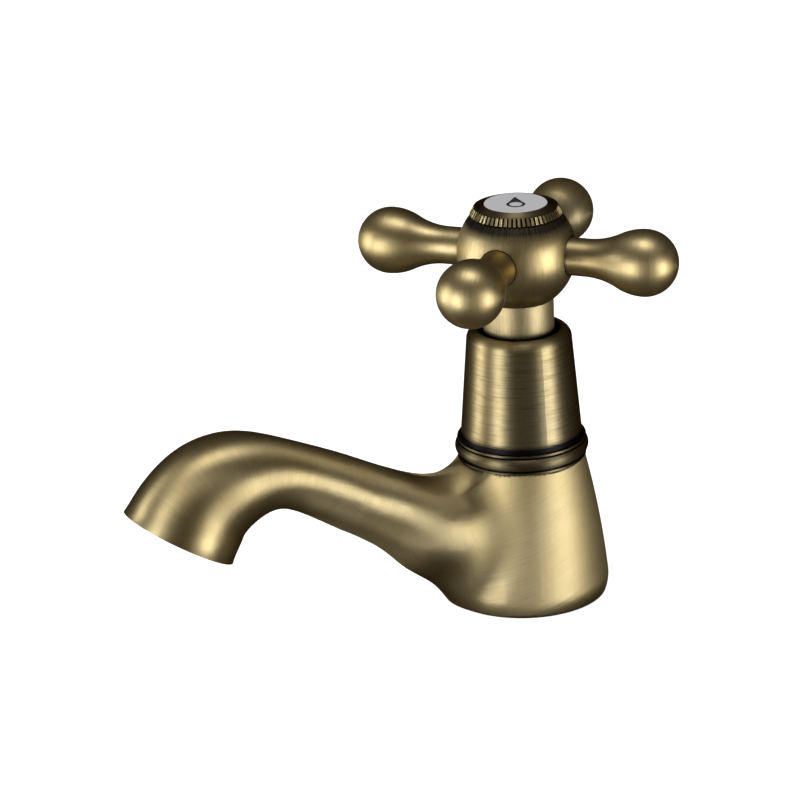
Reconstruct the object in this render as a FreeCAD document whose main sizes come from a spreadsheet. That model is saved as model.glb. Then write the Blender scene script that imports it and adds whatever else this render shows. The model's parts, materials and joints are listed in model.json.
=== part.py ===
"""Cross handle tap: a pillar tap with a quarter-turn cartridge, as separate pieces, in millimetres.

+Z is up, the spout points towards -Y, and the origin is the middle of the base's underside,
which stands on the deck. The handle is modelled in its closed position.
"""
import FreeCAD, Part
import math
import os
import Sketcher

# Every size that can be set by itself. Heights are above the deck and depths below it.
SIZES = {
    # casting: base cone and neck
    "base_radius": 23.3,
    "casting_stock": 10.0,
    "cone_top_radius": 16.95,
    "cone_side_radius": 250.0,
    "cone_height": 39.6,
    "neck_radius": 14.0,
    "neck_length": 12.4,
    # casting: path of the spout, which rises straight, bends over its crest and falls to the mouth
    "spout_rise_angle": 29.4,
    "spout_axis_above_rim": 21.63,
    "rise_end_reach": 39.1,
    "crest_bend_radius": 34.4,
    "crest_end_fall": 5.2,
    "nozzle_bend_radius": 20.0,
    "nozzle_fall_angle": 58.1,
    "nozzle_length": 4.7,
    # casting: stations along the straight rise, measured out from the rim of the base
    "root_reach": -16,
    "shoulder_reach": 0.7,
    "waist_reach": 12.7,
    "middle_reach": 25.7,
    # casting: radius of the spout at each station, and the width of the mouth
    "root_section": 19.0,
    "root_half_width": 17.5,
    "shoulder_section": 14.8,
    "shoulder_half_width": 14.2,
    "waist_section": 11.3,
    "middle_section": 9.9,
    "rise_end_section": 9.1,
    "crest_section": 9.8,
    "crest_end_section": 12.9,
    "nozzle_bend_section": 15.0,
    "nozzle_section": 15.9,
    "mouth_section": 16.4,
    "nozzle_bend_half_width": 13.2,
    "nozzle_half_width": 13.9,
    "mouth_half_width": 14.1,
    "spout_blend_radius": 14,
    # casting: passages
    "port_radius": 5.2,
    "seat_web": 3.5,
    "waterway_radius": 6.2,
    "waterway_level": 25.0,
    "waterway_bend_radius": 25.0,
    # thread fits and running fits, all radial
    "thread_clearance": 0.08,
    "running_clearance": 0.05,
    "loose_clearance": 0.3,
    "disc_gap": 0.03,
    # tail and deck clamp
    "tail_radius": 10.48,
    "tail_bore_radius": 7.0,
    "tail_engagement": 12.0,
    "tail_drop": 50.0,
    "tail_end_chamfer": 1.0,
    "tail_seal_inner_radius": 7.6,
    "tail_seal_thickness": 1.5,
    "gasket_inner_radius": 13.0,
    "gasket_rim_width": 3.8,
    "gasket_thickness": 2.0,
    "deck_thickness": 12.0,
    "deck_washer_inset": 4.3,
    "deck_washer_thickness": 3.0,
    "backnut_washer_radius": 17.5,
    "backnut_washer_thickness": 1.5,
    "backnut_across_flats": 30.0,
    "backnut_height": 9.0,
    # collar ring and shroud
    "collar_height": 5.4,
    "collar_edge_radius": 17.45,
    "collar_bead_radius": 18.1,
    "collar_line_depth": 0.6,
    "collar_line_height": 0.55,
    "shroud_foot_radius": 16.5,
    "shroud_top_radius": 14.0,
    "shroud_height": 30.6,
    "shroud_mouth_radius": 10.8,
    "shroud_shoulder_round": 2.75,
    "shroud_lip_round": 0.6,
    "shroud_wall": 1.7,
    "shroud_roof": 2.2,
    "shroud_thread_length": 6.0,
    # cartridge housing
    "housing_thread_radius": 10.4,
    "housing_thread_length": 14.0,
    "skirt_radius": 9.3,
    "skirt_wall": 1.1,
    "window_width": 9.0,
    "window_height": 3.3,
    "housing_hex_across_flats": 22.0,
    "housing_hex_height": 4.0,
    "housing_sleeve_radius": 7.2,
    "housing_sleeve_height": 6.0,
    "housing_ring_wire": 0.75,
    # ceramic discs and their seal
    "seat_seal_thickness": 1.6,
    "seat_seal_width": 2.2,
    "ceramic_thickness": 3.0,
    "ceramic_hub_radius": 2.2,
    "ceramic_port_radius": 5.6,
    "ceramic_port_half_angle": 38.0,
    "key_width": 2.6,
    "key_depth": 0.8,
    "drive_slot_width": 3.0,
    "drive_slot_depth": 1.4,
    # spindle
    "stem_radius": 5.0,
    "spindle_plate_radius": 7.4,
    "spindle_plate_thickness": 3.4,
    "thrust_washer_thickness": 0.6,
    "stem_top_above_sleeve": 2.6,
    "spline_tip_radius": 4.0,
    "spline_root_radius": 3.6,
    "spline_teeth": 24,
    "spline_tooth_root_width": 0.62,
    "spline_tooth_tip_width": 0.34,
    "spline_length": 20.0,
    "screw_hole_depth": 15.0,
    "stem_ring_wire": 0.65,
    "stem_ring_first_height": 12.0,
    "stem_ring_spacing": 4.0,
    "circlip_thickness": 0.9,
    "circlip_radius": 6.6,
    "circlip_groove_radius": 4.3,
    "circlip_gap_width": 4.0,
    # handle hub
    "ball_radius": 16.0,
    "ball_height": 97.05,
    "ball_top_above_middle": 10.45,
    "hub_neck_radius": 9.55,
    "hub_foot_clearance": 3.0,
    "hub_web": 3.6,
    "screw_pocket_radius": 5.2,
    "cap_bore_radius": 8.7,
    "cap_bore_depth": 8.0,
    "socket_radius": 5.3,
    "socket_floor": 13.4,
    "spigot_radius": 2.5,
    "spigot_end": 10.4,
    # handle arms, measured out from the tap's axis
    "arm_rest_angle": 45.0,
    "arm_neck_radius": 5.1,
    "arm_bulb_reach": 35.85,
    "arm_bulb_radius": 9.0,
    "arm_swell_radius": 15.2,
    "arm_hollow_radius": 20.0,
    # handle screw and its washer
    "screw_radius": 2.0,
    "screw_length": 16.0,
    "screw_head_radius": 4.2,
    "screw_head_height": 3.2,
    "screw_key_across_flats": 3.0,
    "screw_key_depth": 2.0,
    "lock_washer_radius": 4.4,
    "lock_washer_thickness": 0.9,
    "lock_washer_split": 1.0,
    # index cap and disc
    "cap_radius": 12.4,
    "cap_line_radius": 11.5,
    "cap_line_height": 0.4,
    "cap_height": 3.2,
    "cap_spigot_length": 6.0,
    "cap_spigot_wall": 1.6,
    "knurl_teeth": 60,
    "knurl_depth": 0.35,
    "knurl_top_radius": 11.4,
    "knurl_top_height": 2.25,
    "disc_radius": 8.5,
    "disc_thickness": 1.6,
    "disc_edge_round": 0.25,
    # aerator in the mouth
    "aerator_radius": 12.0,
    "aerator_recess": 0.8,
    "aerator_length": 7.6,
    "aerator_wall": 1.6,
    "aerator_lip_width": 1.2,
    "aerator_lip_thickness": 1.4,
    "aerator_key_width": 3.0,
    "aerator_washer_thickness": 1.2,
    "aerator_washer_width": 2.8,
    "mesh_thickness": 0.8,
    "mesh_hole": 1.3,
    "mesh_pitch": 2.1,
    "mesh_rows": 7,
}

doc = FreeCAD.newDocument("cross_handle_tap")
sheet = doc.addObject("Spreadsheet::Sheet", "Sizes")
for row, (alias, number) in enumerate(SIZES.items(), start=1):
    sheet.set(f"A{row}", alias)
    sheet.set(f"B{row}", str(number))
    sheet.setAlias(f"B{row}", alias)
doc.recompute()


class Size:
    """A number with the text of the expression on the sheet that it comes from."""

    def __init__(self, number, text):
        self.number = float(number)
        self.text = text

    def __add__(self, other):
        other = as_size(other)
        return Size(self.number + other.number, f"({self.text} + {other.text})")

    def __sub__(self, other):
        other = as_size(other)
        return Size(self.number - other.number, f"({self.text} - {other.text})")

    def __mul__(self, other):
        other = as_size(other)
        return Size(self.number * other.number, f"({self.text} * {other.text})")

    def __truediv__(self, other):
        other = as_size(other)
        return Size(self.number / other.number, f"({self.text} / {other.text})")

    def __neg__(self):
        return Size(-self.number, f"(-1 * {self.text})")

    __radd__ = __add__
    __rmul__ = __mul__

    def __rsub__(self, other):
        return as_size(other) - self


def as_size(value):
    if isinstance(value, Size):
        return value
    return Size(value, repr(value))


def size(alias):
    return Size(SIZES[alias], f"Sizes.{alias}")


def root(value):
    return Size(math.sqrt(value.number), f"sqrt({value.text})")


def sine(degrees):
    degrees = as_size(degrees)
    return Size(math.sin(math.radians(degrees.number)), f"sin({degrees.text})")


def cosine(degrees):
    degrees = as_size(degrees)
    return Size(math.cos(math.radians(degrees.number)), f"cos({degrees.text})")


def arctangent(opposite, adjacent):
    """An angle in degrees from the two short sides of its triangle."""
    angle = math.degrees(math.atan2(opposite.number, adjacent.number))
    return Size(angle, f"atan({opposite.text} / {adjacent.text})")


class Bend:
    """An arc of less than a half turn between two corners; it turns left for +1, right for -1."""

    def __init__(self, radius, turn):
        self.radius = as_size(radius)
        self.turn = turn


# ---------------------------------------------------------------- sketches and features


def vector(x=0.0, y=0.0, z=0.0):
    return FreeCAD.Vector(x, y, z)


def new_body(label, height=None, turn=None):
    """A body of its own, raised to a height and turned about the tap's axis."""
    body = doc.addObject("PartDesign::Body", label)
    body.Label = label
    angle = as_size(turn).number if turn is not None else 0.0
    lift = as_size(height).number if height is not None else 0.0
    body.Placement = FreeCAD.Placement(vector(z=lift), FreeCAD.Rotation(vector(z=1), angle))
    if height is not None:
        body.setExpression("Placement.Base.z", as_size(height).text)
    if turn is not None:
        body.setExpression("Placement.Rotation.Angle", as_size(turn).text)
    return body


def origin_part(body, role):
    for feature in body.Origin.OriginFeatures:
        if feature.Role == role:
            return feature
    raise ValueError(role)


def new_sketch(body, name, plane, lift=None):
    """An empty sketch on one of the body's origin planes, lifted along its normal."""
    sketch = body.newObject("Sketcher::SketchObject", name)
    sketch.AttachmentSupport = [(origin_part(body, plane), "")]
    sketch.MapMode = "FlatFace"
    if lift is not None:
        lift = as_size(lift)
        sketch.AttachmentOffset = FreeCAD.Placement(vector(z=lift.number), FreeCAD.Rotation())
        sketch.setExpression("AttachmentOffset.Base.z", lift.text)
    return sketch


def constrain(sketch, kind, *args, value=None):
    """Adds a constraint, and ties its value to the sheet where it has one."""
    if value is None:
        return sketch.addConstraint(Sketcher.Constraint(kind, *args))
    index = sketch.addConstraint(Sketcher.Constraint(kind, *args, value.number))
    sketch.setExpression(f"Constraints[{index}]", value.text)
    return index


def place_point(sketch, element, end, x, y):
    """Holds an end of a line or arc at a point given from the sketch's origin."""
    x_axis, y_axis, origin = -1, -2, (-1, 1)
    if x.text in ("0", "0.0"):
        constrain(sketch, "PointOnObject", element, end, y_axis)
    else:
        constrain(sketch, "DistanceX", *origin, element, end, value=x)
    if y.text in ("0", "0.0"):
        constrain(sketch, "PointOnObject", element, end, x_axis)
    else:
        constrain(sketch, "DistanceY", *origin, element, end, value=y)


def arc_between(start, end, bend):
    """An arc through two points, with its centre on the side that the bend turns to."""
    chord = end - start
    across = vector(-chord.y, chord.x).normalize()
    sagitta_base = math.sqrt(bend.radius.number ** 2 - (chord.Length / 2) ** 2)
    centre = (start + end) * 0.5 + across * (sagitta_base * bend.turn)
    circle = Part.Circle(centre, vector(z=1), bend.radius.number)
    first, last = (start, end) if bend.turn > 0 else (end, start)
    from_angle = math.atan2(first.y - centre.y, first.x - centre.x)
    to_angle = math.atan2(last.y - centre.y, last.x - centre.x)
    if to_angle <= from_angle:
        to_angle += 2 * math.pi
    return Part.ArcOfCircle(circle, from_angle, to_angle)


def draw_line(sketch, steps, closed=True):
    """A line through corners (x, y), with a Bend between two corners that an arc joins."""
    corners = []
    bends = []
    for step in steps:
        if isinstance(step, Bend):
            bends[-1] = step
        else:
            corners.append((as_size(step[0]), as_size(step[1])))
            bends.append(None)
    points = [vector(x.number, y.number) for x, y in corners]
    first = sketch.GeometryCount
    count = len(points) if closed else len(points) - 1
    ends = []
    for index in range(count):
        bend, start, end = bends[index], points[index], points[(index + 1) % len(points)]
        if bend is None:
            sketch.addGeometry(Part.LineSegment(start, end), False)
            ends.append((1, 2))
        else:
            sketch.addGeometry(arc_between(start, end, bend), False)
            ends.append((1, 2) if bend.turn > 0 else (2, 1))
    for index in range(count if closed else count - 1):
        after = (index + 1) % count
        constrain(sketch, "Coincident", first + index, ends[index][1], first + after, ends[after][0])
    for index in range(count):
        place_point(sketch, first + index, ends[index][0], *corners[index])
        if bends[index] is not None:
            constrain(sketch, "Radius", first + index, value=bends[index].radius)
    if not closed:
        place_point(sketch, first + count - 1, ends[-1][1], *corners[-1])


def draw_circle(sketch, radius, x=0, y=0):
    radius, x, y = as_size(radius), as_size(x), as_size(y)
    circle = Part.Circle(vector(x.number, y.number), vector(z=1), radius.number)
    index = sketch.addGeometry(circle, False)
    if x.text == "0" and y.text == "0":
        constrain(sketch, "Coincident", index, 3, -1, 1)
    else:
        place_point(sketch, index, 3, x, y)
    constrain(sketch, "Radius", index, value=radius)


def outline(body, name, plane, steps, lift=None):
    sketch = new_sketch(body, name, plane, lift)
    draw_line(sketch, steps)
    return sketch


def circles(body, name, radii, plane="XY_Plane", lift=None):
    sketch = new_sketch(body, name, plane, lift)
    for radius in radii:
        draw_circle(sketch, radius)
    return sketch


def revolve(body, name, sketch, kind="PartDesign::Revolution", axis="V_Axis"):
    feature = body.newObject(kind, name)
    feature.Profile = sketch
    feature.ReferenceAxis = (sketch, [axis])
    feature.Angle = 360
    return feature


def turned(body, name, steps):
    """A solid of revolution about the body's Z axis from a half section (radius, height)."""
    return revolve(body, name, outline(body, name + "_section", "XZ_Plane", steps))


def turned_cut(body, name, steps):
    sketch = outline(body, name + "_section", "XZ_Plane", steps)
    return revolve(body, name, sketch, "PartDesign::Groove")


def pad(body, name, sketch, length):
    feature = body.newObject("PartDesign::Pad", name)
    feature.Profile = sketch
    feature.setExpression("Length", as_size(length).text)
    return feature


def pocket(body, name, sketch, depth=None, against_normal=True):
    """A cut from the sketch down its normal, or up it; through all where no depth is given."""
    feature = body.newObject("PartDesign::Pocket", name)
    feature.Profile = sketch
    feature.Reversed = not against_normal
    if depth is None:
        feature.Type = "ThroughAll"
    else:
        feature.setExpression("Length", as_size(depth).text)
    return feature


def cut_both_ways(body, name, sketch, length):
    """A pocket that runs to both sides of its sketch."""
    cut = body.newObject("PartDesign::Pocket", name)
    cut.Profile = sketch
    cut.Midplane = True
    cut.setExpression("Length", length.text)
    return cut


def around(body, name, features, count):
    """Copies of the features, evenly spaced about the body's Z axis."""
    pattern = body.newObject("PartDesign::PolarPattern", name)
    pattern.Originals = features
    pattern.Axis = (origin_part(body, "Z_Axis"), [""])
    pattern.Angle = 360
    count = as_size(count)
    pattern.Occurrences = int(count.number)
    if count.text.startswith("Sizes."):
        pattern.setExpression("Occurrences", count.text)
    body.Tip = pattern
    return pattern


def round_edges(body, name, base, edges, radius):
    feature = body.newObject("PartDesign::Fillet", name)
    feature.Base = (base, edges)
    feature.setExpression("Radius", as_size(radius).text)
    return feature


def ring_edges(shape, radius, height):
    """Names of the circular edges with this radius at this height."""
    names = []
    for index, edge in enumerate(shape.Edges, start=1):
        if not isinstance(edge.Curve, Part.Circle):
            continue
        same_radius = abs(edge.Curve.Radius - as_size(radius).number) < 1e-4
        same_height = abs(edge.Curve.Center.z - as_size(height).number) < 1e-4
        if same_radius and same_height:
            names.append(f"Edge{index}")
    return names


def hexagon(across_flats):
    corner = across_flats / (2 * cosine(30))
    return [(corner * math.cos(math.radians(60 * side)), corner * math.sin(math.radians(60 * side)))
            for side in range(6)]


def rectangle(left, bottom, right, top):
    return [(left, bottom), (right, bottom), (right, top), (left, top)]


def oval(body, name, height, half_width, place):
    """A closed oval across the spout's path, taller or wider, with its middle on the path."""
    reach, level, rise = place
    sketch = new_sketch(body, name, "XY_Plane")
    tilt = 90 - rise
    sketch.AttachmentOffset = FreeCAD.Placement(
        vector(y=-reach.number, z=level.number), FreeCAD.Rotation(vector(x=1), tilt.number))
    sketch.setExpression("AttachmentOffset.Base.y", (-reach).text)
    sketch.setExpression("AttachmentOffset.Base.z", level.text)
    sketch.setExpression("AttachmentOffset.Rotation.Angle", tilt.text)
    if half_width is None:
        draw_circle(sketch, height)
        return sketch
    tall = height.number >= half_width.number
    major, minor = (height, half_width) if tall else (half_width, height)
    major_end = vector(y=major.number) if tall else vector(x=major.number)
    minor_end = vector(x=minor.number) if tall else vector(y=minor.number)
    sketch.addGeometry(Part.Ellipse(major_end, minor_end, vector()), False)
    sketch.exposeInternalGeometry(0)
    constrain(sketch, "Coincident", 0, 3, -1, 1)
    constrain(sketch, "PointOnObject", 1, 1, -2 if tall else -1)
    constrain(sketch, "Distance", 1, 1, 1, 2, value=2 * major)
    constrain(sketch, "Distance", 2, 1, 2, 2, value=2 * minor)
    return sketch


def loft(body, name, sections):
    feature = body.newObject("PartDesign::AdditiveLoft", name)
    feature.Profile = sections[0]
    feature.Sections = sections[1:]
    feature.Ruled = False
    return feature


# ---------------------------------------------------------------- heights that pieces share

collar_seat = size("cone_height")
neck_top = collar_seat + size("neck_length")
tail_top = size("tail_engagement")
port_floor = tail_top + size("tail_seal_thickness")
seat = port_floor + size("seat_web")
fixed_disc_foot = seat + size("seat_seal_thickness")
moving_disc_foot = fixed_disc_foot + size("ceramic_thickness") + size("disc_gap")
spindle_foot = moving_disc_foot + size("ceramic_thickness")
plate_top = spindle_foot + size("spindle_plate_thickness")
housing_ceiling = plate_top + size("thrust_washer_thickness") + size("disc_gap")
sleeve_top = neck_top + size("housing_hex_height") + size("housing_sleeve_height")
stem_top = sleeve_top + size("stem_top_above_sleeve")
spline_top = stem_top + size("spline_length")
hub_foot = stem_top + size("hub_foot_clearance")
hub_top = size("ball_height") + size("ball_top_above_middle")
web_foot = spline_top + size("loose_clearance")
web_top = web_foot + size("hub_web")
washer_foot = -size("deck_thickness") - size("deck_washer_thickness")
backnut_top = washer_foot - size("backnut_washer_thickness")

neck_bore = size("housing_thread_radius") + size("thread_clearance")
tail_bore = size("tail_radius") + size("thread_clearance")
stem_bore = size("stem_radius") + size("running_clearance")
skirt_bore = size("skirt_radius") - size("skirt_wall")
disc_radius = skirt_bore - size("running_clearance")
outer_thread_bore = size("neck_radius") + size("thread_clearance")
gasket_radius = size("base_radius") - size("gasket_rim_width")


def ring_counterbore():
    """Radius and depth of the recess in the neck's top that holds the housing's ring."""
    wire = size("housing_ring_wire")
    return neck_bore + 2 * wire + size("thread_clearance"), 2 * wire


# ---------------------------------------------------------------- the spout's path


def point_on_bend(centre, radius, rise):
    """Place on an arc that bends downwards, where the path has this rise."""
    return centre[0] - radius * sine(rise), centre[1] + radius * cosine(rise), rise


def spout_path():
    """Places along the middle of the spout, each with its reach, its height and its rise."""
    rise = size("spout_rise_angle")
    crest_end = -size("crest_end_fall")
    fall = -size("nozzle_fall_angle")

    def on_rise(reach):
        level = size("spout_axis_above_rim") + reach * sine(rise) / cosine(rise)
        return size("base_radius") + reach, level, rise

    stations = ("root", "shoulder", "waist", "middle", "rise_end")
    path = {name: on_rise(size(name + "_reach")) for name in stations}
    bend = size("crest_bend_radius")
    reach, level, _ = path["rise_end"]
    centre = (reach + bend * sine(rise), level - bend * cosine(rise))
    path["crest"] = point_on_bend(centre, bend, (rise + crest_end) / 2)
    path["crest_end"] = point_on_bend(centre, bend, crest_end)
    bend = size("nozzle_bend_radius")
    reach, level, _ = path["crest_end"]
    centre = (reach + bend * sine(crest_end), level - bend * cosine(crest_end))
    path["nozzle_bend"] = point_on_bend(centre, bend, (crest_end + fall) / 2)
    path["nozzle"] = point_on_bend(centre, bend, fall)
    reach, level, _ = path["nozzle"]
    length = size("nozzle_length")
    path["mouth"] = (reach + length * cosine(fall), level + length * sine(fall), fall)
    return path


PATH = spout_path()

# each arm's place, with its turn from the hub's own X axis
ARMS = {"front_right": -90, "rear_right": 0, "rear_left": 90, "front_left": 180}


def waterway_steps():
    """The waterway's line: level out of the chamber, then up and over with the spout's path."""
    rise, level, bend = size("spout_rise_angle"), size("waterway_level"), size("waterway_bend_radius")
    slope = sine(rise) / cosine(rise)
    corner = size("base_radius") + (level - size("spout_axis_above_rim")) / slope
    tangent = bend * sine(rise / 2) / cosine(rise / 2)
    places = [(skirt_bore, level), (corner - tangent, level), Bend(bend, -1),
              (corner + tangent * cosine(rise), level + tangent * sine(rise)),
              PATH["rise_end"], Bend(size("crest_bend_radius"), 1), PATH["crest_end"],
              Bend(size("nozzle_bend_radius"), 1), PATH["nozzle"], PATH["mouth"]]
    return [place if isinstance(place, Bend) else (-place[0], place[1]) for place in places]


# ---------------------------------------------------------------- fixed pieces: the casting


def spout_sections(body):
    ovals = ("root", "shoulder", "nozzle_bend", "nozzle", "mouth")
    sections = []
    for name, place in PATH.items():
        half_width = size(name + "_half_width") if name in ovals else None
        sections.append(oval(body, name + "_oval", size(name + "_section"), half_width, place))
    return sections


def blend_edges(shape):
    """The edges where the spout leaves the cone: long free curves beside the tap's axis."""
    names = []
    for index, edge in enumerate(shape.Edges, start=1):
        box = edge.BoundBox
        beside = box.YMin > -1.5 * SIZES["base_radius"] and box.XLength > SIZES["neck_radius"]
        if isinstance(edge.Curve, Part.BSplineCurve) and beside:
            names.append(f"Edge{index}")
    return names


def radius_below_base(depth):
    """Radius of the cone's bowed side, carried on to a depth below the base."""
    side = size("cone_side_radius")
    run, rise = size("base_radius") - size("cone_top_radius"), collar_seat
    chord = root(run * run + rise * rise)
    lift = root(side * side - chord * chord / 4)
    middle_radius = size("cone_top_radius") + run / 2 - lift * rise / chord
    middle_height = rise / 2 - lift * run / chord
    drop = depth + middle_height
    return middle_radius + root(side * side - drop * drop)


def make_tap_body():
    """One casting: flared base, neck, spout, waterway, valve seat and the bores for the rest."""
    body = new_body("tap_body")
    base, cone_top = size("base_radius"), size("cone_top_radius")
    neck = size("neck_radius")
    side, stock = size("cone_side_radius"), size("casting_stock")
    turned(body, "cone", [(0, -stock), (radius_below_base(stock), -stock),
                          Bend(side, 1), (cone_top, collar_seat),
                          (neck, collar_seat), (neck, neck_top), (0, neck_top)])
    doc.recompute()
    spout = loft(body, "spout", spout_sections(body))
    doc.recompute()
    round_edges(body, "spout_blend", spout, blend_edges(spout.Shape), size("spout_blend_radius"))
    doc.recompute()
    pocket(body, "foot_cut", circles(body, "foot_outline", [3 * base]))
    doc.recompute()

    ring_radius, ring_depth = ring_counterbore()
    port = size("port_radius")
    turned_cut(body, "main_bore", [(0, 0), (tail_bore, 0), (tail_bore, port_floor), (port, port_floor),
                                   (port, seat), (neck_bore, seat), (neck_bore, neck_top - ring_depth),
                                   (ring_radius, neck_top - ring_depth), (ring_radius, neck_top),
                                   (0, neck_top)])
    turned_cut(body, "gasket_recess", rectangle(size("gasket_inner_radius"), 0,
                                                gasket_radius, size("gasket_thickness")))
    doc.recompute()

    path = new_sketch(body, "waterway_path", "YZ_Plane")
    draw_line(path, waterway_steps(), closed=False)
    start = oval(body, "waterway_start", size("waterway_radius"), None,
                 (skirt_bore, size("waterway_level"), as_size(0)))
    waterway = body.newObject("PartDesign::SubtractivePipe", "waterway")
    waterway.Profile = start
    waterway.Spine = (path, [f"Edge{number}" for number in range(1, path.GeometryCount + 1)])
    doc.recompute()

    seat_sketch = oval(body, "aerator_seat_oval", size("aerator_radius") + size("thread_clearance"),
                       None, PATH["mouth"])
    depth = size("aerator_recess") + size("aerator_length") + size("aerator_washer_thickness")
    pocket(body, "aerator_seat", seat_sketch, depth)
    return body


def make_collar_ring():
    """Bead ring between the casting and the shroud, with a fine line above and below the bead."""
    body = new_body("collar_ring", collar_seat)
    edge, line = size("collar_edge_radius"), size("collar_line_height")
    groove = edge - size("collar_line_depth")
    height = size("collar_height")
    bead = size("collar_bead_radius")
    low, high = 2 * line, height - 2 * line
    rise, half = bead - edge, (high - low) / 2
    bead_round = (half * half + rise * rise) / (2 * rise)
    turned(body, "ring", [(outer_thread_bore, 0), (edge, 0), (edge, line), (groove, line), (groove, low),
                          (edge, low), Bend(bead_round, 1), (edge, high), (groove, high),
                          (groove, height - line), (edge, height - line), (edge, height),
                          (outer_thread_bore, height)])
    return body


def make_shroud():
    """Bell cover over the cartridge, with a rolled mouth; it screws onto the casting's neck."""
    foot = collar_seat + size("collar_height")
    body = new_body("shroud", foot)
    height, mouth = size("shroud_height"), size("shroud_mouth_radius")
    foot_radius, top_radius = size("shroud_foot_radius"), size("shroud_top_radius")
    thread, wall = size("shroud_thread_length"), size("shroud_wall")
    ceiling = height - size("shroud_roof")
    bell = turned(body, "bell", [(outer_thread_bore, 0), (foot_radius, 0), (top_radius, height),
                                 (mouth, height), (mouth, ceiling), (top_radius - wall, ceiling),
                                 (outer_thread_bore, thread)])
    doc.recompute()
    shoulder = round_edges(body, "shoulder", bell, ring_edges(bell.Shape, top_radius, height),
                           size("shroud_shoulder_round"))
    doc.recompute()
    round_edges(body, "lip", shoulder, ring_edges(shoulder.Shape, mouth, height), size("shroud_lip_round"))
    return body


# ---------------------------------------------------------------- fixed pieces: the cartridge


def make_cartridge_housing():
    """Housing screwed into the neck: skirt with two windows, thread, hexagon and sleeve."""
    body = new_body("cartridge_housing", seat)
    skirt, thread = size("skirt_radius"), size("housing_thread_radius")
    shoulder = neck_top - seat
    thread_foot = shoulder - size("housing_thread_length")
    ceiling = housing_ceiling - seat
    foot = size("seat_seal_thickness") / 2
    sleeve, top = size("housing_sleeve_radius"), sleeve_top - seat
    hex_top = shoulder + size("housing_hex_height")
    turned(body, "shell", [(skirt_bore, foot), (skirt, foot), (skirt, thread_foot), (thread, thread_foot),
                           (thread, shoulder), (skirt, shoulder), (skirt, hex_top), (sleeve, hex_top),
                           (sleeve, top), (stem_bore, top), (stem_bore, ceiling),
                           (skirt_bore, ceiling)])
    plate = outline(body, "hex_outline", "XY_Plane", hexagon(size("housing_hex_across_flats")), shoulder)
    draw_circle(plate, (skirt + sleeve) / 2)
    pad(body, "hex", plate, size("housing_hex_height"))
    doc.recompute()

    window_foot = moving_disc_foot - seat + size("ceramic_thickness")
    width, height = size("window_width"), size("window_height")
    side = outline(body, "window_outline", "XZ_Plane",
                   rectangle(-width / 2, window_foot, width / 2, window_foot + height))
    cut_both_ways(body, "windows", side, 4 * skirt)
    doc.recompute()

    half_key = size("key_width") / 2 + size("thread_clearance")
    slot = outline(body, "key_slot_outline", "XZ_Plane",
                   rectangle(-half_key, foot, half_key,
                             fixed_disc_foot - seat + size("ceramic_thickness")))
    cut_both_ways(body, "key_slots", slot, 4 * skirt)
    return body


def make_ring_seal(label, major_radius, wire_radius, height):
    """A round-section ring that lies level at a height."""
    ring = doc.addObject("Part::Torus", label)
    ring.Label = label
    ring.setExpression("Radius1", major_radius.text)
    ring.setExpression("Radius2", wire_radius.text)
    ring.setExpression("Placement.Base.z", height.text)
    return ring


def make_housing_o_ring():
    wire = size("housing_ring_wire")
    return make_ring_seal("housing_o_ring", neck_bore + wire + size("thread_clearance") / 2, wire,
                          neck_top - wire)


def make_washer(label, height, inner, outer, thickness):
    """A flat ring with its underside at a height."""
    body = new_body(label, height)
    turned(body, "ring", rectangle(inner, 0, outer, thickness))
    return body


def make_seat_seal():
    outer = disc_radius - size("thread_clearance")
    return make_washer("seat_seal", seat, outer - size("seat_seal_width"), outer,
                       size("seat_seal_thickness"))


def sector(inner, outer, half_angle):
    """An outline between two radii, to both sides of the X axis."""
    across, along = sine(half_angle), cosine(half_angle)
    return [(inner * along, -inner * across), (outer * along, -outer * across), Bend(outer, 1),
            (outer * along, outer * across), (inner * along, inner * across), Bend(inner, -1)]


def ceramic_disc(body):
    """A flat disc with two ports opposite each other on the X axis."""
    pad(body, "disc", circles(body, "disc_outline", [disc_radius]), size("ceramic_thickness"))
    doc.recompute()
    port_outline = outline(body, "port_outline", "XY_Plane",
                           sector(size("ceramic_hub_radius"), size("ceramic_port_radius"),
                                  size("ceramic_port_half_angle")))
    port = pocket(body, "port", port_outline, against_normal=False)
    doc.recompute()
    around(body, "ports", [port], 2)
    doc.recompute()


def make_fixed_ceramic_disc():
    """Lower disc, held from turning by two keys in the housing's slots."""
    body = new_body("fixed_ceramic_disc", fixed_disc_foot)
    ceramic_disc(body)
    half_key = size("key_width") / 2
    reach = disc_radius + size("key_depth")
    for name, side in (("front_key", -1), ("rear_key", 1)):
        near, far = sorted((side * (disc_radius - size("key_depth")), side * reach),
                           key=lambda edge: edge.number)
        pad(body, name, outline(body, name + "_outline", "XY_Plane",
                                rectangle(-half_key, near, half_key, far)), size("ceramic_thickness"))
        doc.recompute()
    return body


def make_moving_ceramic_disc():
    """Upper disc, with a slot across its top for the spindle's tongue; it rests a quarter turn off."""
    body = new_body("moving_ceramic_disc", moving_disc_foot, 90)
    ceramic_disc(body)
    half_slot = size("drive_slot_width") / 2
    top = size("ceramic_thickness")
    slot = outline(body, "slot_outline", "XZ_Plane",
                   rectangle(-half_slot, top - size("drive_slot_depth"), half_slot, top))
    cut_both_ways(body, "drive_slot", slot, 4 * disc_radius)
    return body


# ---------------------------------------------------------------- fixed pieces: the mouth


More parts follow.
